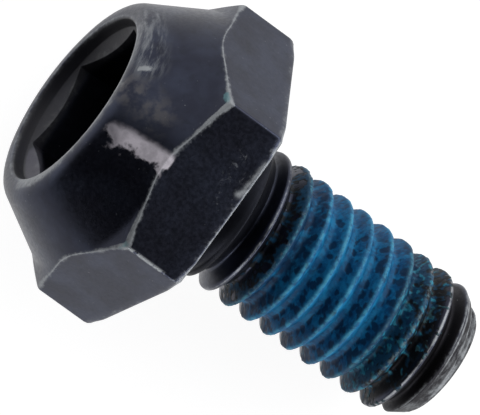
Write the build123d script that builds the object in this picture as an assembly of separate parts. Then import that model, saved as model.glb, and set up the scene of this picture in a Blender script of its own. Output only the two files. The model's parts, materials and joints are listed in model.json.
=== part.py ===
from build123d import *
import os
from math import atan2, ceil, cos, radians, sin, tan

# A black steel mounting screw, M6 x 1 x 12, with a hexagon head that narrows to a round crown,
# a hexagon socket in the crown and a patch of dried thread-locking coating over its thread.
# Millimetres.  The screw is drawn standing on its own axis, crown up, with the centre of its
# bearing face at the origin, and is laid down at the end.

# ---- hexagon base of the head ----
across_flats = 11.5
corner_height = 2.65
corner_chamfer_deg = 30.0
back_edge_chamfer = 0.1
back_corner_chamfer = 0.15

# ---- round crown ----
head_height = 5.9
crown_foot_diameter = 11.8
crown_top_diameter = 8.7
crown_rim_round = 0.75
crown_foot_round = 0.6
facet_deg = 20.0

# ---- socket ----
socket_across_flats = 6.05
socket_depth = 4.0
socket_turn_deg = 11.5
socket_floor_cone_deg = 15.0
mouth_diameter = 7.3
mouth_depth = 0.5
mouth_taper_deg = 8.0
mouth_edge_ease = 0.12
lead_in_deg = 30.0

# ---- plain neck ----
neck_diameter = 5.7
neck_length = 1.3
neck_root_chamfer = 0.15
run_out_deg = 40.0

# ---- thread ----
pitch = 1.0
crest_diameter = 5.92
crest_width = 0.18
root_width = 0.15
flank_half_angle_deg = 30.0
thread_turn_deg = 24.5

# ---- tip ----
shank_length = 12.15
tip_diameter = 4.35
tip_chamfer_deg = 45.0

# ---- thread-locking patch ----
patch_thickness = 0.06
patch_root_fill = 0.1
patch_start = 3.4
patch_end = 9.2
patch_sweep_deg = 190.0
patch_centre_deg = -60.0

# ---- worked out from the sizes above ----
flat_radius = across_flats / 2
corner_radius = flat_radius / cos(radians(30))
crest_radius = crest_diameter / 2
neck_radius = neck_diameter / 2
flank_slope = tan(radians(flank_half_angle_deg))
root_radius = crest_radius - (pitch - crest_width - root_width) / 2 / flank_slope
run_out_slope = tan(radians(run_out_deg))
tip_slope = tan(radians(tip_chamfer_deg))
thread_start = -shank_length - pitch
# how far cutting shapes run past what they trim
clear = 0.5
# the flat that lies on the ground faces this way about the screw's axis
ground_deg = 90.0


def at(radius, height):
    """Point of an outline, drawn in the XZ plane."""
    return (radius, 0, height)


def outline(points):
    """Flat face in the XZ plane with the given (radius, height) corners."""
    return Face(Wire.make_polygon([at(r, z) for r, z in points], close=True))


def facets(before, corner, after, radius):
    """Points of short chords that round a corner of an outline to the given radius."""
    start = Vector(at(*corner))
    inward = (Vector(at(*before)) - start).normalized()
    onward = (Vector(at(*after)) - start).normalized()
    half_corner = radians(inward.get_angle(onward)) / 2
    centre = start + (inward + onward).normalized() * (radius / sin(half_corner))
    reach = radius / tan(half_corner)
    first = start + inward * reach - centre
    last = start + onward * reach - centre
    turn = radians(first.get_angle(last))
    chords = ceil(turn / radians(facet_deg))
    points = []
    for i in range(chords + 1):
        step = turn * i / chords
        spoke = first * sin(turn - step) + last * sin(step)
        point = centre + spoke * (1 / sin(turn))
        points.append((point.X, point.Z))
    return points


def revolved(face, angle=360):
    """Turn an outline about the screw's axis, from the XZ plane and all round unless told less."""
    return Solid.revolve(face, angle, Axis.Z)


def hexagon(across, low, high, turn_deg):
    """Upright hexagonal prism with a corner at turn_deg."""
    ring = [(across / 2 / cos(radians(30)), turn_deg + 60 * i) for i in range(6)]
    points = [(r * cos(radians(a)), r * sin(radians(a)), low) for r, a in ring]
    return Solid.extrude(Face(Wire.make_polygon(points, close=True)), Vector(0, 0, high - low))


def head_blank():
    """Hexagon base and round crown, without the socket."""
    prism = hexagon(across_flats, 0, head_height, 0)
    back_edges = prism.edges().group_by(Axis.Z)[0]
    prism = prism.chamfer(back_edge_chamfer, None, back_edges)

    # the corners are chamfered inwards to the foot of the crown
    slope = tan(radians(corner_chamfer_deg))
    foot_radius = crown_foot_diameter / 2
    foot_z = corner_height + (corner_radius - foot_radius) * slope
    outer = corner_radius + clear
    over_corner = (outer, corner_height - clear * slope)
    foot = (foot_radius, foot_z)
    rim = (crown_top_diameter / 2, head_height)
    top = (0, head_height)
    profile = outline([
        (0, 0),
        (corner_radius - back_corner_chamfer, 0),
        (outer, (clear + back_corner_chamfer) * slope),
        over_corner,
        *facets(over_corner, foot, rim, crown_foot_round),
        *facets(foot, rim, top, crown_rim_round),
        top,
    ])
    return prism & revolved(profile)


def socket():
    """Round mouth, lead-in, and the hexagon with its shallow conical floor."""
    mouth_radius = mouth_diameter / 2
    mouth_floor = head_height - mouth_depth
    mouth_floor_radius = mouth_radius - mouth_depth * tan(radians(mouth_taper_deg))
    lead_in_drop = mouth_floor_radius * tan(radians(lead_in_deg))
    eased_radius = mouth_radius + mouth_edge_ease
    mouth = outline([
        (0, head_height + clear),
        (eased_radius, head_height + clear),
        (eased_radius, head_height),
        (mouth_radius, head_height - mouth_edge_ease),
        (mouth_floor_radius, mouth_floor),
        (0, mouth_floor - lead_in_drop),
    ])

    # the floor dips from the middle of each wall, socket_depth down, to its centre
    wide = socket_across_flats
    floor_slope = tan(radians(socket_floor_cone_deg))
    centre_z = head_height - socket_depth - socket_across_flats / 2 * floor_slope
    above_floor = outline([
        (0, head_height),
        (wide, head_height),
        (wide, centre_z + wide * floor_slope),
        (0, centre_z),
    ])
    bore = hexagon(socket_across_flats, centre_z, mouth_floor, socket_turn_deg)
    return revolved(mouth) + (bore & revolved(above_floor))


def turn_of_helix(radius, z):
    """One right-hand turn that starts at angle 0."""
    return Edge.make_helix(pitch, pitch, radius, center=(0, 0, z))


def helical_rod(profile):
    """Rod with a one-pitch profile of (radius, height) points wound along the whole shank.

    Each turn has a ruled face for each segment of the profile, and a ramp with a step
    closes each end.
    """
    turns = ceil(shank_length / pitch) + 2
    faces = []
    for turn in range(turns):
        z = thread_start + turn * pitch
        for (r_a, z_a), (r_b, z_b) in zip(profile, profile[1:]):
            lower = turn_of_helix(r_a, z + z_a)
            upper = turn_of_helix(r_b, z + z_b)
            faces.append(Face.make_surface_from_curves(lower, upper))
    first_radius, first_z = profile[0]
    for z in (thread_start, thread_start + turns * pitch):
        low = z + first_z
        steps = [(r, z + dz) for r, dz in profile]
        axis_edge = Edge.make_line(at(0, low), at(0, low + pitch))
        ramp = Face.make_surface_from_curves(axis_edge, turn_of_helix(first_radius, low))
        faces.append(outline([(0, low), *steps, (0, low + pitch)]))
        faces.append(ramp)
    return Solid(Shell(faces)).rotate(Axis.Z, thread_turn_deg)


def thread_profile(skin, root):
    """One pitch of the thread, from edge to edge of its crests, grown outwards by skin."""
    crest = crest_radius + skin
    half_crest = crest_width / 2 + skin * (1 / cos(radians(flank_half_angle_deg)) - flank_slope)
    half_root = pitch / 2 - half_crest - (crest - root) * flank_slope
    return [
        (crest, -half_crest),
        (crest, half_crest),
        (root, pitch / 2 - half_root),
        (root, pitch / 2 + half_root),
        (crest, pitch - half_crest),
    ]


def shank():
    """Plain neck, thread with its run-out, and chamfered tip."""
    outer = crest_radius + clear
    inner = root_radius - clear
    neck_end = -neck_length
    tip = -shank_length
    envelope = outline([
        (0, tip),
        (tip_diameter / 2, tip),
        (outer, tip + (outer - tip_diameter / 2) * tip_slope),
        (outer, neck_end - (outer - neck_radius) / run_out_slope),
        (neck_radius, neck_end),
        (0, neck_end),
    ])
    thread = helical_rod(thread_profile(0, root_radius)) & revolved(envelope)
    core_end = neck_end - (neck_radius - inner) / run_out_slope
    neck = outline([
        (0, clear),
        (neck_radius + neck_root_chamfer, clear),
        (neck_radius + neck_root_chamfer, 0),
        (neck_radius, -neck_root_chamfer),
        (neck_radius, neck_end),
        (inner, core_end),
        (0, core_end),
    ])
    return thread + revolved(neck)


def patch(screw):
    """Skin of dried coating that follows the thread over part of its length and its round."""
    inner = root_radius - clear
    outer = crest_radius + clear
    reach = outline([
        (inner, -patch_end),
        (outer, -patch_end),
        (outer, -patch_start),
        (inner, -patch_start),
    ])
    sector = revolved(reach, patch_sweep_deg)
    sector = sector.rotate(Axis.Z, patch_centre_deg - patch_sweep_deg / 2)
    skin = helical_rod(thread_profile(patch_thickness, root_radius + patch_root_fill))
    return (skin & sector) - screw


def lying_plane():
    """Where the screw's own XY plane goes when it lies on a flat of its head and its tip."""
    chamfer_top = -shank_length + (crest_radius - tip_diameter / 2) * tip_slope
    crest_at_ground = thread_start + pitch * (ground_deg - thread_turn_deg) / 360
    turns_up = ceil((chamfer_top + crest_width / 2 - crest_at_ground) / pitch)
    crest_z = crest_at_ground + turns_up * pitch
    run = back_edge_chamfer - (crest_z - crest_width / 2)
    tilt = atan2(flat_radius - crest_radius, run)
    return Plane(origin=(0, 0, 0), x_dir=(0, 1, 0), z_dir=(-cos(tilt), 0, sin(tilt)))


def main():
    os.makedirs("parts", exist_ok=True)
    screw = head_blank() + shank() - socket()
    laid = lying_plane().location
    export_step(screw.moved(laid), "parts/screw.step")
    export_step(patch(screw).moved(laid), "parts/thread_lock_patch.step")


main()
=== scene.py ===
import json
import math

import bpy
import numpy as np
from mathutils import Matrix, Vector, noise


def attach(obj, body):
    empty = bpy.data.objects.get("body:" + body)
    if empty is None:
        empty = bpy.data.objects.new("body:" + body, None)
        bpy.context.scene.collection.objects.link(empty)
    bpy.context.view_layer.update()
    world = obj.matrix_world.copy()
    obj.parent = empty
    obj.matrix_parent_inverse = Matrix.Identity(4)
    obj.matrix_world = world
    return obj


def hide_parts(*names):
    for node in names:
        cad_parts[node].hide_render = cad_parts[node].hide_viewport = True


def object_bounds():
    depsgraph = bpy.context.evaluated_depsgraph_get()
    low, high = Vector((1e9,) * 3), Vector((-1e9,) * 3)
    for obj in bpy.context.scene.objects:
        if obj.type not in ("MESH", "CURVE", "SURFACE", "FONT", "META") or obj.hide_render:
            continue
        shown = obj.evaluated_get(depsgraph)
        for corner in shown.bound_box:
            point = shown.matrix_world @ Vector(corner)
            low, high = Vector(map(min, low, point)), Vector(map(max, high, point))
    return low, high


# A black steel mounting screw with a dried thread-locking patch, lying on a pale studio floor.
# Sizes are in millimetres on the screw's own axis, crown up, with its bearing face at height 0,
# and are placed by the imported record.

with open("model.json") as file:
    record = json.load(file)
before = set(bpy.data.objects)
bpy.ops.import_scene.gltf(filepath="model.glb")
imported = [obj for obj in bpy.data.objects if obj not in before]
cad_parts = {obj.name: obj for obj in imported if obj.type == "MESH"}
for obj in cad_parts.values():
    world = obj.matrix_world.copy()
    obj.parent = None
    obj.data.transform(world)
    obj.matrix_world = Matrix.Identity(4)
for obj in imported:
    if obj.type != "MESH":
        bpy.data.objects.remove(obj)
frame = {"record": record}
cad_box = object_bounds()

MM = 0.001
mounts = {m["name"]: m for m in frame["record"]["mounts"]}


# ---------------------------------------------------------------- sizes

# head; the rounds on the back edge and on the arcs over the flats are larger by the corners
FLAT_RADIUS = mounts["wrench_flats"]["dims"]["r_mm"]
CORNER_RADIUS = FLAT_RADIUS / math.cos(math.radians(30))
CORNER_HEIGHT = mounts["wrench_flats"]["dims"]["length_mm"]
CORNER_ROUND = 0.12
BACK_ROUND = 0.13
BACK_ROUND_MORE = 0.22
ARC_ROUND = 0.16
ARC_ROUND_MORE = 0.15
ARC_WEAR = (0.5, 0.7, 0.88, 0.95, 0.88, 0.72, 0.55)
CROWN_FOOT_RADIUS = 5.9
CROWN_FOOT_ROUND = 0.6
CROWN_TOP_RADIUS = 4.35
CROWN_RIM_ROUND = 0.75
CHAMFER_SLOPE = math.tan(math.radians(30))

# socket and its mouth
SOCKET_RADIUS = mounts["hex_socket"]["dims"]["r_mm"]
SOCKET_DEPTH = mounts["hex_socket"]["dims"]["length_mm"]
SOCKET_TURN = 11.5
SOCKET_CORNER_ROUND = 0.06
SOCKET_FLOOR_ROUND = 0.08
SOCKET_FLOOR_SLOPE = math.tan(math.radians(15))
MOUTH_RADIUS = 3.65
MOUTH_DEPTH = 0.5
MOUTH_TAPER = math.tan(math.radians(8))
MOUTH_EASE = 0.12
MOUTH_FLOOR_ROUND = 0.05
LEAD_IN_ROUND = 0.04
LEAD_IN_SLOPE = math.tan(math.radians(30))

# neck, whose head end and shank end meet at NECK_SEAM
NECK_RADIUS = 2.85
NECK_LENGTH = 1.3
NECK_ROOT = 0.15
NECK_SEAM = -0.75
RUN_OUT_SLOPE = math.tan(math.radians(40))

# thread and tip; the last four are the widths over which one surface turns into the next
PITCH = 1.0
CREST_RADIUS = mounts["thread"]["dims"]["r_mm"]
CREST_WIDTH = 0.18
ROOT_WIDTH = 0.15
THREAD_TURN = 24.5
FLANK_SLOPE = math.tan(math.radians(30))
THREAD_DEPTH = (PITCH - CREST_WIDTH - ROOT_WIDTH) / 2 / FLANK_SLOPE
SHANK_LENGTH = 12.15
TIP_RADIUS = 2.28
TIP_SLOPE = 0.62
TIP_EDGE = 0.1
CREST_BLEND = 0.07
ROOT_BLEND = 0.12
RUN_OUT_BLEND = 0.08
TIP_BLEND = 0.06

# coating: the full coat, the thin film at its ends and the depth of its hidden side
PATCH_THICKNESS = 0.045
PATCH_ROOT_FILL = 0.10
PIT_DEPTH = 0.028
FILM_THICKNESS = 0.007
FLECK_HEIGHT = 0.022
BARE_DEPTH = 0.05
SHELL_DEPTH = 0.06
PATCH_LOW_DEG = -193.0
PATCH_HIGH_DEG = 38.0
PATCH_STEP_DEG = 0.9
PATCH_FIRST_LAP = -4
PATCH_LAST_LAP = -12

# places of marks on the steel, each a line between two points; Y points down as the screw lies
UPPER_FLAT = -FLAT_RADIUS
WORN_CORNER = ((-3.32, UPPER_FLAT, 2.5), (-3.32, UPPER_FLAT, 0.1))
RIM_SCUFF = ((4.1, -1.0, 5.7), (2.7, -3.7, 5.5))
RIM_MARK = ((2.35, -3.75, 5.66), (2.75, -4.05, 5.3))
FLAT_SCUFF = ((0.3, UPPER_FLAT, 0.6), (1.8, UPPER_FLAT, 0.9))
NICK = ((0.72, UPPER_FLAT, 0.3), (0.95, -5.8, 0.14))
NICK_TAIL = ((0.8, -5.8, 0.22), (2.2, UPPER_FLAT, 0.14))
DUST = ((1.5, -4.1, 5.7), (1.3, -5.0, 4.5))
# line of the painted reflection: a pale streak down the crown where a lamp's reflection lies
PAINTED_REFLECTION_LINE = ((0.12, -5.85, 3.3), (-0.10, -4.7, 5.35))
TEAL_TRACES = (((3.3, -5.6, 2.8), (3.5, -5.3, 2.9)), ((-3.3, -5.7, 2.7), (-3.5, -5.5, 2.8)))
# where one side of the lead-in is painted lighter, as painted light
PAINTED_LIGHT_LEAD_IN = ((-2.6, 1.6, 5.2), (-3.1, -0.2, 5.2))

# studio, in metres and degrees
VIEW_TARGET = Vector((0.002037, 0.000330, -0.001565))
VIEW_AZIMUTH = 178.085
VIEW_ELEVATION = 85.281
VIEW_ROLL = -127.95
VIEW_DISTANCE = 0.401725
LENS_MM = 794.0
LAMP_DISTANCE = 0.42
FLOOR_HALF = 0.6
FLOOR_GAP = 0.00002


# ---------------------------------------------------------------- placing

def distance_mm(a, b):
    """Distance between two points given in metres, in millimetres."""
    return (Vector(a) - Vector(b)).length / MM


HEAD_HEIGHT = distance_mm(mounts["hex_socket"]["pos_m"], mounts["bearing_face"]["pos_m"])


def screw_matrix():
    """From the screw's own millimetres to the frame's metres."""
    up = -Vector(mounts["bearing_face"]["axis"]).normalized()
    side = Vector((0, 1, 0))
    third = up.cross(side)
    turn = Matrix((side, third, up)).transposed()
    place = Matrix.Translation(Vector(mounts["bearing_face"]["pos_m"]))
    return place @ turn.to_4x4() @ Matrix.Scale(MM, 4)


PLACE = np.array(screw_matrix())


# ---------------------------------------------------------------- curves and outlines

def hexagon_radius(angles, flat_radius, corner_deg, corner_round):
    """Radius of a hexagon with rounded corners at each angle, in degrees."""
    off = (angles - corner_deg + 30.0) % 60.0 - 30.0
    off = np.radians(np.abs(off))
    corner = flat_radius / math.cos(math.radians(30))
    centre = corner - corner_round / math.sin(math.radians(60))
    flat = flat_radius / np.cos(math.radians(30) - off)
    last = math.atan2(corner_round * 0.5, centre + corner_round * math.cos(math.radians(30)))
    inside = np.maximum(corner_round ** 2 - (centre * np.sin(off)) ** 2, 0.0)
    arc = centre * np.cos(off) + np.sqrt(inside)
    return np.where(off < last, arc, flat)


def corner_arc(before, corner, after, radius, count):
    """Points (count, columns, 2) that round the corner between three arrays of (columns, 2)."""
    back = before - corner
    back = back / np.linalg.norm(back, axis=1, keepdims=True)
    on = after - corner
    on = on / np.linalg.norm(on, axis=1, keepdims=True)
    half = np.arccos(np.clip((back * on).sum(1), -1, 1)) / 2
    reach = (radius / np.tan(half))[:, None]
    middle = back + on
    middle = middle / np.linalg.norm(middle, axis=1, keepdims=True)
    centre = corner + middle * (radius / np.sin(half))[:, None]
    first = corner + back * reach - centre
    last = corner + on * reach - centre
    turn = (math.pi - 2 * half)[:, None]
    rows = []
    for i in range(count):
        t = i / (count - 1)
        spoke = (first * np.sin(turn * (1 - t)) + last * np.sin(turn * t)) / np.sin(turn)
        rows.append(centre + spoke)
    return np.array(rows)


def crown_curve():
    """Dense (radius, height) points of the crown, from outside the corners in to its flat top."""
    past = 0.3
    outer = np.array([[CORNER_RADIUS + past, CORNER_HEIGHT - past * CHAMFER_SLOPE]])
    foot_z = CORNER_HEIGHT + (CORNER_RADIUS - CROWN_FOOT_RADIUS) * CHAMFER_SLOPE
    foot = np.array([[CROWN_FOOT_RADIUS, foot_z]])
    rim = np.array([[CROWN_TOP_RADIUS, HEAD_HEIGHT]])
    top = np.array([[0.0, HEAD_HEIGHT]])
    foot_arc = corner_arc(outer, foot, rim, CROWN_FOOT_ROUND, 12)[:, 0]
    rim_arc = corner_arc(foot, rim, top, CROWN_RIM_ROUND, 24)[:, 0]
    return np.concatenate([outer, foot_arc, rim_arc])


def lengths_along(points):
    """Distance along a line of points from its start to each of them."""
    steps = np.linalg.norm(np.diff(points, axis=0), axis=1)
    return np.concatenate([[0.0], np.cumsum(steps)])


def column_angles():
    """Angles of the mesh's columns, closer together by the corners of both hexagons."""
    near = [0, .25, .5, .75, 1.3, 2.2, 3.5, 5.0, 6.6, 8.2, 9.7, 10.7, 11.2, 11.5, 11.8, 12.3, 13.3]
    middle = list(np.linspace(14.9, 57.2, 29))
    far = [58.3, 59.0, 59.4, 59.7]
    sector = np.array(near + middle + far)
    return np.concatenate([sector + 60 * k for k in range(6)])


def smooth_step(low, high, value):
    """0 at low and 1 at high, with a smooth change between."""
    t = np.clip((value - low) / (high - low), 0.0, 1.0)
    return t * t * (3 - 2 * t)


def grain(points, size, seed):
    """Smooth noise from about -1 to 1 at each point, in millimetres."""
    shift = Vector((seed * 7.31, seed * 3.17, seed * 5.73))
    return np.array([noise.noise(Vector(p) / size + shift) for p in points]) * 2.0


def nearest_cell(points, size):
    """Distance from each point to the nearest of centres scattered a size apart, as its share."""
    return np.array([noise.voronoi(Vector(p) / size)[0][0] for p in points])


def soft_min(a, b, width):
    """The lesser of two values, with a smooth change where they are nearer than width."""
    h = np.clip(0.5 + 0.5 * (b - a) / width, 0.0, 1.0)
    return b + (a - b) * h - width * h * (1 - h)


def soft_max(a, b, width):
    return -soft_min(-a, -b, width)


# ---------------------------------------------------------------- thread

def thread_radius(angles, heights, fill=0.0):
    """Radius of the threaded shank, whose roots can be filled by a coating."""
    turn = (angles - THREAD_TURN) / 360.0
    place = (heights + SHANK_LENGTH + PITCH) / PITCH - turn
    away = np.abs((place + 0.5) % 1.0 - 0.5) * PITCH
    root = CREST_RADIUS - THREAD_DEPTH + fill
    flank = CREST_RADIUS - (away - CREST_WIDTH / 2) / FLANK_SLOPE
    return soft_max(soft_min(flank, CREST_RADIUS, CREST_BLEND), root, ROOT_BLEND)


def tip_cone(heights):
    """Radius of the tip's chamfer."""
    return TIP_RADIUS + (heights + SHANK_LENGTH) * TIP_SLOPE


def shank_radius(angles, heights):
    """Radius of the bare shank: neck, thread that runs out into it and chamfered tip."""
    down = -heights
    neck = NECK_RADIUS + (CREST_RADIUS - NECK_RADIUS) * smooth_step(0.8, NECK_LENGTH + 0.05, down)
    core = neck - np.maximum(down - NECK_LENGTH - 0.1, 0) * RUN_OUT_SLOPE
    radius = soft_max(thread_radius(angles, heights), core, RUN_OUT_BLEND)
    radius = np.where(down < NECK_LENGTH, neck, np.minimum(radius, CREST_RADIUS))
    return soft_min(radius, tip_cone(heights), TIP_BLEND)


# ---------------------------------------------------------------- mesh of the screw

class HeadRows:
    """Rows of (radius, height) from the neck round the head to the socket's floor, with wear.

    A row has a radius and a height for each column of the mesh.
    """

    def __init__(self, angles):
        self.count = len(angles)
        self.rows = []
        self.wear = []
        self.hexagon = hexagon_radius(angles, FLAT_RADIUS, 0.0, CORNER_ROUND)
        self.socket = hexagon_radius(angles, SOCKET_RADIUS, SOCKET_TURN, SOCKET_CORNER_ROUND)
        self.from_corner = np.abs((angles + 30) % 60 - 30)
        # the flat that faces up and the side of the crown's rim over it are rubbed most
        signed = angles - 360.0 * (angles > 180)
        self.near_side = smooth_step(-124, -119, signed) * smooth_step(-56, -61, signed)
        self.rim_side = smooth_step(-182, -160, signed) * smooth_step(-5, -30, signed)
        self.rim_wear = self.rim_side * (0.34 + 0.34 * smooth_step(-110, -140, signed))
        # where the crown's curve crosses the flats, as a distance along it
        self.crown = crown_curve()
        self.along = lengths_along(self.crown)
        order = np.argsort(self.crown[:, 0])
        self.arc_start = np.interp(self.hexagon, self.crown[order, 0], self.along[order])
        self.add_neck()
        self.add_bearing_face()
        self.add_flats()
        self.add_crown()
        self.add_mouth()
        self.add_socket()

    def ring(self, radius, height):
        """One row, from numbers or from a value for each column."""
        return np.column_stack([np.broadcast_to(radius, self.count),
                                np.broadcast_to(height, self.count)])

    def crown_at(self, distance):
        """One row, at a distance along the crown's curve in each column."""
        return self.ring(np.interp(distance, self.along, self.crown[:, 0]),
                         np.interp(distance, self.along, self.crown[:, 1]))

    def add(self, rows, worn=0.0):
        for row in rows:
            self.rows.append(row)
            self.wear.append(np.broadcast_to(worn, self.count))

    def add_neck(self):
        """Neck, from the seam with the shank, and its root."""
        self.add([self.ring(NECK_RADIUS, NECK_SEAM), self.ring(NECK_RADIUS, -0.4)])
        self.add(corner_arc(self.ring(NECK_RADIUS, -1), self.ring(NECK_RADIUS, 0),
                            self.ring(4, 0), NECK_ROOT, 5))

    def add_bearing_face(self):
        """Bearing face and the rounded back edge of the hexagon."""
        start = NECK_RADIUS + NECK_ROOT
        edge = self.hexagon - 0.4
        for t in (0.2, 0.45, 0.7, 0.9, 1.0):
            self.add([self.ring(start + (edge - start) * t, 0)])
        back_round = BACK_ROUND + BACK_ROUND_MORE * smooth_step(9, 0, self.from_corner)
        back = corner_arc(self.ring(edge, 0), self.ring(self.hexagon, 0),
                          self.ring(self.hexagon, 1), back_round, 5)
        self.add(back[:2], 0.35)
        self.add(back[2:3], 0.62 + 0.28 * self.near_side)
        self.add(back[3:], 0.35)

    def add_flats(self):
        """Flats and the worn arcs over them, where the crown's curve crosses them."""
        arc_z = np.interp(self.arc_start, self.along, self.crown[:, 1])
        low = 0.45
        high = arc_z - 0.26
        for t in (0.0, 0.25, 0.5, 0.75, 1.0):
            self.add([self.ring(self.hexagon, low + (high - low) * t)])
        arc_round = ARC_ROUND + ARC_ROUND_MORE * smooth_step(8, 0, self.from_corner)
        arc = corner_arc(self.ring(self.hexagon, 0), self.ring(self.hexagon, arc_z),
                         self.crown_at(self.arc_start + 0.3), arc_round, 7)
        for row, worn in zip(arc, ARC_WEAR):
            self.add([row], worn * (0.76 + 0.34 * self.near_side))

    def add_crown(self):
        """Crown, from above the arcs to its rim, which is worn on one side."""
        first = self.arc_start + 0.2
        last = self.along[-1]
        for t in np.linspace(0.0, 1.0, 24):
            distance = first + (last - first) * t
            worn = self.rim_wear * smooth_step(last - 0.45, last - 0.05, distance)
            self.add([self.crown_at(distance)], worn)

    def add_mouth(self):
        """Round mouth of the socket and the lead-in to its hexagon."""
        floor = HEAD_HEIGHT - MOUTH_DEPTH
        floor_radius = MOUTH_RADIUS - MOUTH_DEPTH * MOUTH_TAPER
        mouth_top = self.ring(MOUTH_RADIUS, HEAD_HEIGHT)
        mouth_wall = self.ring(floor_radius, floor)
        self.lead_z = floor - (floor_radius - self.socket) * LEAD_IN_SLOPE
        lead_corner = self.ring(self.socket, self.lead_z)
        half_way = MOUTH_DEPTH / 2
        ease = corner_arc(self.ring(4, HEAD_HEIGHT), mouth_top, mouth_wall, MOUTH_EASE, 6)
        self.add(ease, 0.42 + 0.35 * self.rim_side)
        self.add([self.ring(MOUTH_RADIUS - half_way * MOUTH_TAPER, HEAD_HEIGHT - half_way)])
        self.add(corner_arc(mouth_top, mouth_wall, lead_corner, MOUTH_FLOOR_ROUND, 3))
        self.add(corner_arc(mouth_wall, lead_corner, self.ring(self.socket, 0), LEAD_IN_ROUND, 4), 0.4)

    def add_socket(self):
        """Walls of the socket and its shallow conical floor, short of the vertex at its centre."""
        deep = HEAD_HEIGHT - SOCKET_DEPTH + (self.socket - SOCKET_RADIUS) * SOCKET_FLOOR_SLOPE
        for t in (0.15, 0.35, 0.6, 0.8):
            self.add([self.ring(self.socket, self.lead_z + (deep - self.lead_z) * t)])
        self.centre_z = HEAD_HEIGHT - SOCKET_DEPTH - SOCKET_RADIUS * SOCKET_FLOOR_SLOPE
        self.add(corner_arc(self.ring(self.socket, HEAD_HEIGHT), self.ring(self.socket, deep),
                            self.ring(0, self.centre_z), SOCKET_FLOOR_ROUND, 4))
        for t in (0.7, 0.4, 0.15):
            self.add([self.ring(self.socket * t, self.centre_z + self.socket * t * SOCKET_FLOOR_SLOPE)])


def crest_wear(angle, height, radius, away):
    """Wear along the thread's crests, which fades where they are cut low, and on the tip."""
    # cut is how much lower than the thread's crests a worn crest may be
    cut = 0.14 + 0.2 * smooth_step(-11.0, -11.3, height)
    full = np.clip((radius - CREST_RADIUS + cut) / 0.1, 0, 1) * smooth_step(-1.9, -2.1, height)
    underside = np.clip(1 - abs((angle - 15) % 360 - 180) / 25, 0, 1)
    line = np.clip(1.1 - away / 0.08, 0, 1) * (0.55 + 0.25 * smooth_step(-9.5, -10.4, height))
    tip = 0.38 * smooth_step(-11.35, -11.8, height)
    if height < -10.6:
        from_edge = abs(thread_radius(angle, height) - tip_cone(height))
        tip = max(tip, 0.8 * np.clip(1 - from_edge / 0.13, 0, 1))
    return float(max(full * max(line, 0.42 * underside), tip))


# rows of the mesh over one pitch, from root to root
THREAD_STEPS = np.array([-.5, -.44, -.385, -.30, -.21, -.145, -.115, -.085, -.045,
                         .0, .045, .085, .115, .145, .21, .30, .385, .44])


class MeshLists:
    """Vertices, faces and a wear value for each vertex."""

    def __init__(self):
        self.points = []
        self.wear = []
        self.faces = []

    def add_ring(self, angles, rows, worn):
        """Adds one closed ring of (radius, height) rows and gives the numbers of its vertices."""
        start = len(self.points)
        turn = np.radians(angles)
        self.points.extend(zip(rows[:, 0] * np.cos(turn), rows[:, 0] * np.sin(turn), rows[:, 1]))
        self.wear.extend(worn)
        return np.arange(start, start + len(angles))

    def bridge(self, lower, upper):
        """Faces from one closed ring of vertices to the next, further along the surface."""
        after_low = np.roll(lower, -1)
        after_up = np.roll(upper, -1)
        for a, b, c, d in zip(lower, after_low, after_up, upper):
            self.faces.append((int(a), int(b), int(c), int(d)))

    def close(self, ring, height):
        """Closes a ring with a fan of faces round a vertex on the axis."""
        centre = len(self.points)
        self.points.append((0.0, 0.0, height))
        self.wear.append(0.0)
        for a, b in zip(ring, np.roll(ring, -1)):
            self.faces.append((int(a), int(b), centre))


def add_helical_shank(mesh, angles, low, high, bottom, top):
    """Rows that follow the thread between two flat rings that are already in the mesh."""
    count = len(angles)
    per_turn = len(THREAD_STEPS)
    nearly = 0.004
    turn = (angles - THREAD_TURN) / 360.0
    first = int(math.floor((low + SHANK_LENGTH) / PITCH)) - 2
    last = int(math.ceil((high + SHANK_LENGTH) / PITCH)) + 2
    index = {}

    def vertex(column, row):
        if column == count:
            column = 0
            row += per_turn
        key = (column, row)
        if key in index:
            return index[key]
        step = THREAD_STEPS[row % per_turn]
        height = -SHANK_LENGTH - PITCH + PITCH * (first + row // per_turn + turn[column] + step)
        if height >= high - nearly:
            made = top[column]
        elif height <= low + nearly:
            made = bottom[column]
        else:
            radius = float(shank_radius(angles[column], height))
            made = len(mesh.points)
            a = math.radians(angles[column])
            mesh.points.append((radius * math.cos(a), radius * math.sin(a), height))
            mesh.wear.append(crest_wear(angles[column], height, radius, abs(step)))
        index[key] = int(made)
        return index[key]

    for column in range(count):
        for row in range(-per_turn, (last - first + 2) * per_turn):
            corners = []
            for key in ((column, row), (column + 1, row), (column + 1, row + 1), (column, row + 1)):
                made = vertex(*key)
                if made not in corners:
                    corners.append(made)
            if len(corners) >= 3:
                mesh.faces.append(tuple(corners))


def make_object(name, points, faces, marks, material, node):
    """Blender piece placed in the frame, riding on the screw and standing for its CAD node.

    marks holds a value for each vertex under each name, which the material reads.
    """
    placed = np.array(points) @ PLACE[:3, :3].T + PLACE[:3, 3]
    data = bpy.data.meshes.new(name)
    data.from_pydata([tuple(p) for p in placed], [], faces)
    for mark, values in marks.items():
        layer = data.attributes.new(mark, "FLOAT", "POINT")
        layer.data.foreach_set("value", np.array(values, dtype=np.float32))
    data.shade_smooth()
    data.materials.append(material)
    piece = bpy.data.objects.new(name, data)
    bpy.context.scene.collection.objects.link(piece)
    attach(piece, "root")
    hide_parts(node)


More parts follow.
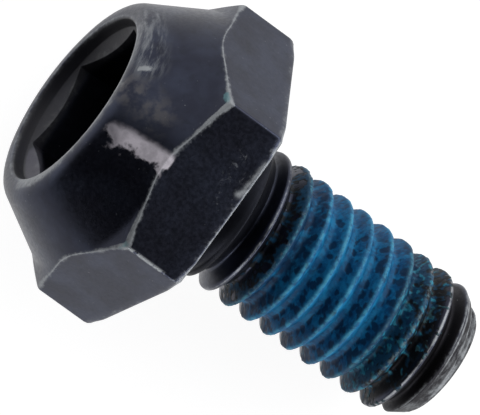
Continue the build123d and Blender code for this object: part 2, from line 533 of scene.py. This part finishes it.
def build_screw(material):
    """The screw as one closed mesh: its head in rings, its shank in rows along the thread."""
    angles = column_angles()
    mesh = MeshLists()
    head = HeadRows(angles)
    rings = [mesh.add_ring(angles, row, worn) for row, worn in zip(head.rows, head.wear)]
    for lower, upper in zip(rings, rings[1:]):
        mesh.bridge(lower, upper)
    mesh.close(rings[-1], head.centre_z)
    # tip: radius, height over the end face and wear of each ring, out to the chamfer
    tip = [(0.8, 0.0, 0.1), (TIP_RADIUS - 0.12, 0.0, 0.1), (TIP_RADIUS - 0.03, 0.03, 0.42),
           (TIP_RADIUS + 0.03, TIP_EDGE, 0.42)]
    tip_rings = []
    for radius, up, worn in tip:
        row = np.tile((radius, -SHANK_LENGTH + up), (len(angles), 1))
        tip_rings.append(mesh.add_ring(angles, row, np.full(len(angles), worn)))
    for lower, upper in zip(tip_rings, tip_rings[1:]):
        mesh.bridge(lower, upper)
    mesh.close(tip_rings[0][::-1], -SHANK_LENGTH)
    add_helical_shank(mesh, angles, -SHANK_LENGTH + TIP_EDGE, NECK_SEAM, tip_rings[-1], rings[0])
    make_object("screw_body", mesh.points, mesh.faces, {"wear": mesh.wear}, material,
                "screw")


# ---------------------------------------------------------------- thread-locking patch

# rows of the mesh over one pitch, from crest to crest
PATCH_STEPS = np.array([.0, .055, .10, .14, .18, .22, .26, .30, .34, .38, .425, .5,
                        .575, .62, .67, .72, .77, .82, .865, .91, .95])


def patch_amount(angles, along, points):
    """How much coating there is: bare up to 0, a thin film up to 0.5, and the full coat beyond.

    along is the distance down the screw less the thread's advance, so that the coat ends
    along a crest.
    """
    # along the screw, then round it
    start = np.interp(along, [2.25, 2.5, 3.0, 3.2, 3.5, 4.3], [-0.3, 0.12, 0.20, 0.6, 0.7, 1.0])
    end = np.interp(along, [7.9, 8.12, 8.3, 9.1, 9.3, 10.1, 10.5],
                    [1.0, 0.72, 0.42, 0.32, 0.20, 0.13, -0.2])
    low = np.interp(angles, [-192, -185, -176, -162], [-0.2, 0.3, 0.6, 1.0])
    high = np.interp(-angles, [-37, -30, -26, -20], [-0.2, 0.3, 0.6, 1.0])
    ragged = grain(points, 0.45, 1) * 0.128 + grain(points, 0.16, 2) * 0.112
    return np.minimum(np.minimum(start, end), np.minimum(low, high)) + ragged


def coating_marks(points, angles, along, from_crest):
    """Amount, pits, flecks and crests of the coating at each point, as its material reads them."""
    amount = patch_amount(angles, along, points)
    head_flank = smooth_step(0.03, 0.13, from_crest) * smooth_step(0.46, 0.34, from_crest)
    spots = nearest_cell(points + 0.05 * grain(points, 0.2, 7)[:, None], 0.40)
    pits = smooth_step(0.56, 0.34, spots) * (0.12 + 0.88 * head_flank)
    pits = pits * (0.35 + 0.65 * smooth_step(-5, -45, angles))
    rings = np.maximum(1 - np.abs(spots - 0.44) / 0.13, 0) * smooth_step(0.12, 0.34, amount)
    rings = rings * smooth_step(-0.35, 0.25, grain(points, 0.5, 9))
    flecks = np.maximum(smooth_step(0.6, 0.95, grain(points, 0.23, 8) + amount * 0.8), rings * 0.9)
    flecks = flecks * (0.4 + 0.6 * smooth_step(4, 7, along))
    # nearness to a crest; on the full coat the material paints a highlight there
    crest = np.maximum(1 - np.minimum(from_crest, 1 - from_crest) / 0.12, 0)
    return {"coat": amount, "pit": pits, "fleck": flecks, "crest": crest}


def coating_radii(points, angles, bare, marks):
    """Radius of the coating's outer and inner side at each point of the bare shank."""
    full = smooth_step(0.36, 0.62, marks["coat"])
    film = smooth_step(0.0, 0.14, marks["coat"])
    lumps = grain(points, 0.30, 4) * 0.008 + grain(points, 0.12, 5) * 0.006
    coated = thread_radius(angles, points[:, 2], PATCH_ROOT_FILL) + PATCH_THICKNESS
    coated = coated + lumps - marks["pit"] * PIT_DEPTH
    thin = bare + FILM_THICKNESS + marks["fleck"] * FLECK_HEIGHT
    outer = thin + (np.maximum(coated, thin) - thin) * full
    outer = outer * film + (bare - BARE_DEPTH) * (1 - film)
    return outer, np.minimum(outer, bare) - SHELL_DEPTH


def build_patch(material):
    """Dried coating over the thread: a pitted skin that thins out into specks near the tip."""
    columns = np.arange(PATCH_LOW_DEG, PATCH_HIGH_DEG + 0.01, PATCH_STEP_DEG)
    laps = np.arange(PATCH_LAST_LAP, PATCH_FIRST_LAP + 1)
    rows = (laps[:, None] + PATCH_STEPS[None, :]).ravel() * PITCH
    grid_angle, grid_row = np.meshgrid(columns, rows, indexing="ij")
    angles = grid_angle.ravel()
    turn = (angles - THREAD_TURN) / 360.0 * PITCH
    first_crest = (-SHANK_LENGTH) % PITCH
    from_crest = np.tile(PATCH_STEPS, len(laps) * len(columns))
    heights = grid_row.ravel() + first_crest + turn
    bare = shank_radius(angles, heights)
    a = np.radians(angles)
    points = np.column_stack([bare * np.cos(a), bare * np.sin(a), heights])
    marks = coating_marks(points, angles, turn - heights, from_crest)
    both = [np.column_stack([r * np.cos(a), r * np.sin(a), heights])
            for r in coating_radii(points, angles, bare, marks)]
    marks = {mark: np.tile(values, 2) for mark, values in marks.items()}
    faces = shell_faces(len(columns), len(rows))
    make_object("thread_lock_coating", np.concatenate(both), faces, marks, material,
                "thread_lock_patch")


def shell_faces(columns, rows):
    """Faces of a closed shell: an outer and an inner grid, joined round their borders."""
    faces = []

    def at(column, row, side):
        return column * rows + row + side * columns * rows

    for i in range(columns - 1):
        for j in range(rows - 1):
            faces.append((at(i, j, 0), at(i + 1, j, 0), at(i + 1, j + 1, 0), at(i, j + 1, 0)))
            faces.append((at(i, j, 1), at(i, j + 1, 1), at(i + 1, j + 1, 1), at(i + 1, j, 1)))
    last = rows - 1
    for i in range(columns - 1):
        faces.append((at(i, 0, 1), at(i + 1, 0, 1), at(i + 1, 0, 0), at(i, 0, 0)))
        faces.append((at(i, last, 0), at(i + 1, last, 0), at(i + 1, last, 1), at(i, last, 1)))
    last = columns - 1
    for j in range(rows - 1):
        faces.append((at(0, j, 0), at(0, j + 1, 0), at(0, j + 1, 1), at(0, j, 1)))
        faces.append((at(last, j, 1), at(last, j + 1, 1), at(last, j + 1, 0), at(last, j, 0)))
    return faces


# ---------------------------------------------------------------- materials

def linear(*rgb):
    """An sRGB colour, with each part from 0 to 255, as linear values with alpha."""
    out = []
    for v in rgb:
        v = v / 255
        out.append(v / 12.92 if v <= 0.04045 else ((v + 0.055) / 1.055) ** 2.4)
    return (*out, 1.0)


# colours of the steel: black oxide, then what is rubbed or lies on it, the darker grooves, and painted
# shade, painted light and a painted reflection
OXIDE_DARK = linear(48, 50, 61)
OXIDE_LIGHT = linear(58, 62, 76)
OXIDE_MOTTLE = linear(42, 44, 50)
GROOVE_BROWN = linear(36, 34, 34)
RUBBED_STEEL = linear(150, 154, 158)
DUST_GREY = linear(128, 125, 124)
PAINTED_REFLECTION_WHITE = linear(208, 202, 211)
TEAL = linear(88, 140, 148)
MOUTH_PAINTED_SHADE = linear(42, 40, 42)
LEAD_IN_PAINTED_LIGHT = linear(92, 90, 101)
NECK_PAINTED_SHADOW = linear(26, 27, 31)

# colours of the coating: the full coat, its pits and the painted highlight on its crests, then the thin
# film and its flecks
COAT_DEEP = linear(8, 78, 122)
COAT_LIGHT = linear(17, 112, 158)
COAT_THIN = linear(8, 44, 76)
PIT_BLUE = linear(6, 42, 72)
COAT_CREST_HIGHLIGHT = linear(78, 150, 170)
FILM_THIN = linear(13, 17, 22)
FILM_BLUE = linear(17, 64, 94)
FILM_MOTTLE = linear(14, 24, 32)
FLECK_DULL = linear(44, 76, 84)
FLECK_BRIGHT = linear(36, 122, 148)
FILM_CREST = linear(92, 112, 118)


class Nodes:
    """Short calls for building one node tree."""

    def __init__(self, tree):
        self.tree = tree

    def make(self, kind, **settings):
        node = self.tree.nodes.new(kind)
        for key, value in settings.items():
            setattr(node, key, value)
        return node

    def link(self, source, target):
        self.tree.links.new(source, target)

    def put(self, node, **inputs):
        """Sets or links a node's inputs; an underscore stands for a space in a name."""
        for name, value in inputs.items():
            self.feed(node.inputs[name.replace("_", " ")], value)

    def feed(self, socket, value):
        if isinstance(value, bpy.types.NodeSocket):
            self.link(value, socket)
        else:
            socket.default_value = value

    def noise(self, vector, scale, detail=4.0, rough=0.55, distortion=0.0):
        node = self.make("ShaderNodeTexNoise")
        self.put(node, Vector=vector, Scale=scale, Detail=detail, Roughness=rough,
                 Distortion=distortion)
        return node.outputs["Fac"]

    def ramp(self, value, low, high, start=0.0, end=1.0):
        """Smooth change from start to end as the value goes from low to high."""
        node = self.make("ShaderNodeMapRange", interpolation_type="SMOOTHSTEP")
        self.put(node, Value=value, From_Min=low, From_Max=high, To_Min=start, To_Max=end)
        return node.outputs["Result"]

    def math(self, kind, a, b):
        node = self.make("ShaderNodeMath", operation=kind)
        self.feed(node.inputs[0], a)
        self.feed(node.inputs[1], b)
        return node.outputs[0]

    def times(self, *values):
        result = values[0]
        for value in values[1:]:
            result = self.math("MULTIPLY", result, value)
        return result

    def plus(self, *values):
        result = values[0]
        for value in values[1:]:
            result = self.math("ADD", result, value)
        return result

    def most(self, *values):
        result = values[0]
        for value in values[1:]:
            result = self.math("MAXIMUM", result, value)
        return result

    def mix(self, share, a, b):
        node = self.make("ShaderNodeMix", data_type="RGBA")
        self.feed(node.inputs[0], share)
        self.feed(node.inputs[6], a)
        self.feed(node.inputs[7], b)
        return node.outputs[2]

    def mark(self, name):
        """One of the values that make_object stored on the mesh."""
        return self.make("ShaderNodeAttribute", attribute_name=name).outputs["Fac"]

    def far_from(self, place, start, end):
        """Distance in millimetres from the line between two points."""
        start, end = Vector(start), Vector(end)
        line = end - start
        from_start = self.make("ShaderNodeVectorMath", operation="SUBTRACT")
        self.feed(from_start.inputs[0], place)
        from_start.inputs[1].default_value = start
        share = self.make("ShaderNodeVectorMath", operation="DOT_PRODUCT")
        self.feed(share.inputs[0], from_start.outputs[0])
        share.inputs[1].default_value = line / line.length_squared
        held = self.make("ShaderNodeClamp")
        self.feed(held.inputs["Value"], share.outputs["Value"])
        on_line = self.make("ShaderNodeVectorMath", operation="SCALE")
        on_line.inputs[0].default_value = line
        self.feed(on_line.inputs["Scale"], held.outputs[0])
        gap = self.make("ShaderNodeVectorMath", operation="DISTANCE")
        self.feed(gap.inputs[0], from_start.outputs[0])
        self.feed(gap.inputs[1], on_line.outputs[0])
        return gap.outputs["Value"]


def new_material(name, calls=Nodes):
    """A material, calls for its nodes and its own shader."""
    material = bpy.data.materials.new(name)
    material.use_nodes = True
    return material, calls(material.node_tree), material.node_tree.nodes["Principled BSDF"]


def grain_group():
    """Node group with the place on the screw in millimetres and three sizes of noise there."""
    tree = bpy.data.node_groups.new("screw_grain", "ShaderNodeTree")
    tree.interface.new_socket("Place", in_out="OUTPUT", socket_type="NodeSocketVector")
    for name in ("Broad", "Middling", "Fine"):
        tree.interface.new_socket(name, in_out="OUTPUT", socket_type="NodeSocketFloat")
    nodes = Nodes(tree)
    mapping = nodes.make("ShaderNodeMapping", vector_type="TEXTURE")
    turn = screw_matrix().to_3x3().normalized().to_euler()
    own_place = nodes.make("ShaderNodeTexCoord").outputs["Object"]
    nodes.put(mapping, Vector=own_place, Rotation=turn, Scale=(MM, MM, MM))
    place = mapping.outputs["Vector"]
    out = nodes.make("NodeGroupOutput")
    nodes.put(out, Place=place, Broad=nodes.noise(place, 0.55, 3.0),
              Middling=nodes.noise(place, 2.3, 4.0), Fine=nodes.noise(place, 7.0, 5.0, 0.6))
    return tree


GRAIN = grain_group()


def add_grain(nodes, *names):
    """Outputs of the grain group: Place on the screw, and Broad, Middling or Fine noise there."""
    group = nodes.make("ShaderNodeGroup", node_tree=GRAIN)
    return [group.outputs[name] for name in names]


def add_bump(nodes, height, strength, distance_mm):
    """Normal of a surface roughened by height."""
    bump = nodes.make("ShaderNodeBump")
    nodes.put(bump, Height=height, Strength=strength, Distance=distance_mm * MM)
    return bump.outputs["Normal"]


class SteelNodes(Nodes):
    """Masks for the steel's finishes, from a point's place on the screw and the noise there."""

    def __init__(self, tree):
        super().__init__(tree)
        grain_names = ("Place", "Broad", "Middling", "Fine")
        self.place, self.broad, self.middling, self.fine = add_grain(self, *grain_names)
        axes = self.make("ShaderNodeSeparateXYZ")
        self.put(axes, Vector=self.place)
        self.side = axes.outputs["X"]
        self.height = axes.outputs["Z"]
        self.axis_gap = self.gap(((0, 0, HEAD_HEIGHT), (0, 0, -SHANK_LENGTH)))
        # noise drawn out round the screw's axis, and a small unevenness about 0
        around = self.math("ARCTAN2", axes.outputs["Y"], self.side)
        round_place = self.make("ShaderNodeCombineXYZ")
        closer = 1.6
        self.put(round_place, X=self.times(around, closer), Y=self.times(self.axis_gap, closer),
                 Z=self.times(self.height, closer))
        self.round_streaks = self.noise(round_place.outputs["Vector"], 2.0, 5.0, 0.7, 0.2)
        self.uneven = self.plus(self.times(self.plus(self.middling, -0.5), 0.9),
                                self.times(self.plus(self.fine, -0.5), 0.7))

    def gap(self, line):
        """Distance from a line on the screw, given as its two ends."""
        return self.far_from(self.place, *line)

    def groove(self):
        """Grooves of the thread near the tip."""
        return self.times(self.ramp(self.axis_gap, 2.9, 2.72), self.ramp(self.height, -9.0, -10.0))

    def worn_edges(self):
        """Edges that the mesh marks as worn, and the upright edge of one corner."""
        marked = self.ramp(self.plus(self.mark("wear"), self.uneven), 0.22, 0.95)
        corner = self.times(self.ramp(self.gap(WORN_CORNER), 0.13, 0.03),
                            self.ramp(self.middling, 0.44, 0.56))
        return self.most(marked, corner)

    def rim_scuffs(self):
        """Scuffs along the crown's rim, and a brighter mark on it."""
        scuff = self.times(self.ramp(self.gap(RIM_SCUFF), 1.0, 0.1),
                           self.ramp(self.round_streaks, 0.40, 0.66))
        mark = self.ramp(self.plus(self.gap(RIM_MARK), self.times(self.uneven, 0.25)), 0.16, 0.04)
        return self.most(self.times(scuff, 0.55), mark)

    def tip_scuffs(self):
        return self.times(self.ramp(self.height, -11.2, -11.5),
                          self.ramp(self.height, -12.14, -12.08, 0.3, 1.0),
                          self.ramp(self.round_streaks, 0.44, 0.66), 0.4)

    def flat_scuffs(self):
        """Scuffs on the flat that faces up."""
        streaks = self.noise(self.place, 3.2, 5.0, 0.75, 0.6)
        return self.times(self.ramp(self.gap(FLAT_SCUFF), 0.9, 0.1),
                          self.ramp(streaks, 0.56, 0.70), 0.45)

    def nick(self):
        """Nick in the back edge of the flat that faces up, with a tail along the edge."""
        nick_gap = self.math("MINIMUM", self.gap(NICK), self.plus(self.gap(NICK_TAIL), 0.05))
        return self.ramp(self.plus(nick_gap, self.times(self.uneven, 0.3)), 0.26, 0.0, 0.0, 0.9)

    def rubbed(self):
        """Everything that is rubbed bright, with small dots all over."""
        dots = self.ramp(self.noise(self.place, 8.0, 1.0), 0.74, 0.82, 0.0, 0.3)
        return self.most(self.worn_edges(), self.rim_scuffs(), self.tip_scuffs(),
                         self.flat_scuffs(), self.nick(), dots)

    def dust(self):
        """Dust on the crown over the flat that faces up."""
        return self.times(self.ramp(self.gap(DUST), 1.2, 0.1),
                          self.ramp(self.middling, 0.36, 0.66), 0.28)

    def painted_reflection(self):
        """Painted reflection: a pale streak down the crown, painted where a lamp's reflection lies,
        ragged on one side, that stops short of the arc below it.
        """
        ragged = self.times(self.plus(self.middling, -0.5),
                            self.ramp(self.side, 0.25, -0.35, 0.35, 1.9))
        painted_reflection_gap = self.plus(self.gap(PAINTED_REFLECTION_LINE), ragged)
        return self.times(self.ramp(painted_reflection_gap, 0.52, 0.16), self.ramp(self.height, 3.06, 3.16),
                          self.ramp(self.height, 5.4, 4.75, 0.64, 1.0),
                          self.ramp(self.middling, 0.3, 0.6, 0.74, 1.0))

    def teal(self):
        """Traces of coating on two corners of the head."""
        teal_gap = self.math("MINIMUM", *[self.gap(line) for line in TEAL_TRACES])
        return self.ramp(self.plus(teal_gap, self.times(self.uneven, 0.3)), 0.17, 0.05)

    def mouth(self):
        """Mouth of the socket and its lead-in, whose colour is painted shade."""
        return self.times(self.ramp(self.axis_gap, MOUTH_RADIUS + 0.08, MOUTH_RADIUS - 0.02),
                          self.ramp(self.height, HEAD_HEIGHT - 1.2, HEAD_HEIGHT - 0.8))

    def painted_light_lead_in(self):
        """The side of the lead-in that is painted lighter, as painted light."""
        return self.times(self.ramp(self.gap(PAINTED_LIGHT_LEAD_IN), 0.9, 0.6),
                          self.ramp(self.axis_gap, MOUTH_RADIUS - 0.08, MOUTH_RADIUS - 0.18))

    # painted shadow: the neck's colour is darkened where the head shades it
    def neck(self):
        return self.times(self.ramp(self.height, -2.3, -1.6), self.ramp(self.height, -0.01, -0.06))


def black_steel():
    """Black oxide over forged steel, rubbed bright on its edges and scuffed on the crown, with a
    painted reflection down the crown, painted shade in the socket's mouth and painted shadow on the
    neck.
    """
    material, steel, shader = new_material("black_oxide_steel", SteelNodes)
    groove, rubbed, dust, painted_reflection = steel.groove(), steel.rubbed(), steel.dust(), steel.painted_reflection()
    teal, mouth, neck = steel.teal(), steel.mouth(), steel.neck()
    base = steel.mix(steel.ramp(steel.broad, 0.35, 0.68), OXIDE_DARK, OXIDE_LIGHT)
    base = steel.mix(steel.ramp(steel.middling, 0.50, 0.72, 0.0, 0.4), base, OXIDE_MOTTLE)
    # painted shade in the socket's mouth, lighter on one side of the lead-in as painted light
    mouth_painted_shade = steel.mix(steel.painted_light_lead_in(), MOUTH_PAINTED_SHADE, LEAD_IN_PAINTED_LIGHT)
    # the painted reflection, the painted shade of the mouth and the painted shadow on the neck are
    # mixed in here with the real wear, dust and coating traces
    for mask, share, colour in ((groove, 0.8, GROOVE_BROWN), (rubbed, 0.9, RUBBED_STEEL),
                                (dust, 1.0, DUST_GREY), (painted_reflection, 0.95, PAINTED_REFLECTION_WHITE),
                                (teal, 0.6, TEAL), (mouth, 0.6, mouth_painted_shade),
                                (neck, 0.85, NECK_PAINTED_SHADOW)):
        base = steel.mix(steel.times(mask, share), base, colour)
    # where the oxide is worn or covered, and under the painted reflection and the painted shade of the
    # mouth, the surface is rougher and mirrors less
    changed = steel.most(rubbed, painted_reflection, teal, mouth, dust)
    metal = steel.times(steel.ramp(changed, 0.0, 1.0, 1.0, 0.35),
                        steel.ramp(painted_reflection, 0.3, 1.0, 1.0, 0.4))
    rough = steel.plus(steel.ramp(steel.fine, 0.3, 0.7, 0.32, 0.42), steel.times(changed, 0.1),
                       steel.times(neck, 0.15), steel.times(groove, 0.2))
    steel.put(shader, Base_Color=base, Roughness=rough, Metallic=metal,
              Normal=add_bump(steel, steel.fine, 0.07, 0.02))
    return material


def thread_lock():
    """Dried blue thread-locking coating over black steel, with a painted highlight on its crests,
    darker in pits.
    """
    material, nodes, shader = new_material("dried_thread_lock")
    middling, fine = add_grain(nodes, "Middling", "Fine")
    amount = nodes.plus(nodes.mark("coat"), nodes.times(nodes.plus(fine, -0.5), 0.25))
    blotch = nodes.plus(nodes.times(middling, 0.6), nodes.times(fine, 0.4))
    # full coat
    coat = nodes.mix(nodes.ramp(blotch, 0.42, 0.60), COAT_DEEP, COAT_LIGHT)
    coat = nodes.mix(nodes.ramp(amount, 0.62, 1.0), COAT_THIN, coat)
    coat = nodes.mix(nodes.ramp(nodes.mark("pit"), 0.1, 0.85, 0.0, 0.9), coat, PIT_BLUE)
    # painted highlight along the crests of the full coat
    crest = nodes.times(nodes.mark("crest"), nodes.ramp(blotch, 0.42, 0.58, 0.1, 0.55))
    coat = nodes.mix(crest, coat, COAT_CREST_HIGHLIGHT)
    # thin film
    film = nodes.mix(nodes.ramp(amount, 0.16, 0.32), FILM_THIN, FILM_BLUE)
    film = nodes.mix(nodes.ramp(fine, 0.5, 0.7, 0.0, 0.5), film, FILM_MOTTLE)
    fleck = nodes.mix(nodes.ramp(amount, 0.16, 0.36), FLECK_DULL, FLECK_BRIGHT)
    film = nodes.mix(nodes.ramp(nodes.mark("fleck"), 0.3, 0.9, 0.0, 0.95), film, fleck)
    film_crest = nodes.times(nodes.mark("crest"), nodes.ramp(fine, 0.45, 0.6, 0.0, 0.8))
    film = nodes.mix(film_crest, film, FILM_CREST)
    base = nodes.mix(nodes.ramp(amount, 0.40, 0.56), film, coat)
    rough = nodes.ramp(fine, 0.3, 0.7, 0.50, 0.66)
    nodes.put(shader, Base_Color=base, Roughness=rough, Specular_IOR_Level=0.2,
              Normal=add_bump(nodes, fine, 0.25, 0.03))
    return material


# ---------------------------------------------------------------- studio

def studio_floor():
    """Pale floor: white to the camera and to reflections, with the screw's soft shadow on it."""
    material, nodes, shader = new_material("pale_floor")
    path = nodes.make("ShaderNodeLightPath")
    seen = nodes.math("MAXIMUM", path.outputs["Is Camera Ray"], path.outputs["Is Glossy Ray"])
    seen = nodes.math("MAXIMUM", seen, path.outputs["Is Transmission Ray"])
    speckle = nodes.noise(nodes.make("ShaderNodeTexCoord").outputs["Object"], 300.0, 2.0)
    lit = nodes.mix(nodes.ramp(speckle, 0.3, 0.7, 0.0, 0.02), (0.88, 0.88, 0.88, 1),
                    (0.80, 0.80, 0.80, 1))
    nodes.put(shader, Base_Color=nodes.mix(seen, lit, (0.34, 0.34, 0.34, 1)), Roughness=1.0,
              Specular_IOR_Level=0.0, Emission_Color=(1, 1, 1, 1),
              Emission_Strength=nodes.times(seen, 0.86))
    data = bpy.data.meshes.new("studio_floor")
    low = cad_box[0][2] - FLOOR_GAP
    signs = ((-1, -1), (1, -1), (1, 1), (-1, 1))
    corners = [(x * FLOOR_HALF, y * FLOOR_HALF, low) for x, y in signs]
    data.from_pydata(corners, [], [(0, 1, 2, 3)])
    data.materials.append(material)
    floor = bpy.data.objects.new("studio_floor", data)
    bpy.context.scene.collection.objects.link(floor)


def studio_world():
    """White on one side and dark on the other and overhead, so that black metal stays dark."""
    world = bpy.data.worlds.new("studio")
    bpy.context.scene.world = world
    world.use_nodes = True
    nodes = Nodes(world.node_tree)
    nodes.tree.nodes.clear()
    across = nodes.make("ShaderNodeVectorMath", operation="DOT_PRODUCT")
    nodes.feed(across.inputs[0], nodes.make("ShaderNodeTexCoord").outputs["Generated"])
    across.inputs[1].default_value = (0.0, -0.8, 0.6)
    sky = nodes.mix(nodes.ramp(across.outputs["Value"], 0.0, 0.42), (1, 1, 1, 1),
                    (0.035, 0.035, 0.04, 1))
    background = nodes.make("ShaderNodeBackground")
    nodes.put(background, Color=sky, Strength=1.0)
    output = nodes.make("ShaderNodeOutputWorld")
    nodes.link(background.outputs[0], output.inputs[0])


def direction(azimuth, elevation):
    """Unit vector away from the screw, from angles in degrees."""
    a, e = math.radians(azimuth), math.radians(elevation)
    return Vector((math.cos(e) * math.cos(a), math.cos(e) * math.sin(a), math.sin(e)))


def area_light(name, azimuth, elevation, size, power):
    """Soft lamp that faces the screw from a direction in degrees."""
    lamp = bpy.data.lights.new(name, "AREA")
    lamp.shape = "RECTANGLE"
    lamp.size, lamp.size_y = size
    lamp.energy = power
    piece = bpy.data.objects.new(name, lamp)
    away = direction(azimuth, elevation)
    piece.location = VIEW_TARGET + away * LAMP_DISTANCE
    piece.rotation_euler = away.to_track_quat("Z", "Y").to_euler()
    bpy.context.scene.collection.objects.link(piece)


def studio_camera():
    """Long lens, almost straight down on the screw, rolled to put the head at the upper left."""
    away = direction(VIEW_AZIMUTH, VIEW_ELEVATION)
    roll = math.radians(VIEW_ROLL)
    level = (-away).cross(Vector((0, 0, 1))).normalized()
    upright = level.cross(-away)
    up = upright * math.cos(roll) + level * math.sin(roll)
    right = (-away).cross(up)
    data = bpy.data.cameras.new("camera")
    data.sensor_width = 36.0
    data.lens = LENS_MM
    data.clip_start = 0.05
    data.clip_end = 5.0
    camera = bpy.data.objects.new("camera", data)
    place = Matrix((right, up, away)).transposed().to_4x4()
    place.translation = VIEW_TARGET + away * VIEW_DISTANCE
    camera.matrix_world = place
    bpy.context.scene.collection.objects.link(camera)
    bpy.context.scene.camera = camera


bpy.context.scene.view_settings.view_transform = "Standard"

build_screw(black_steel())
build_patch(thread_lock())
studio_floor()
studio_world()
area_light("softbox_tip", 0, 14, (0.4, 0.16), 0.8)
area_light("softbox_upper", 60, 22, (0.4, 0.25), 0.8)
area_light("softbox_lower", -60, 18, (0.4, 0.2), 0.9)
studio_camera()
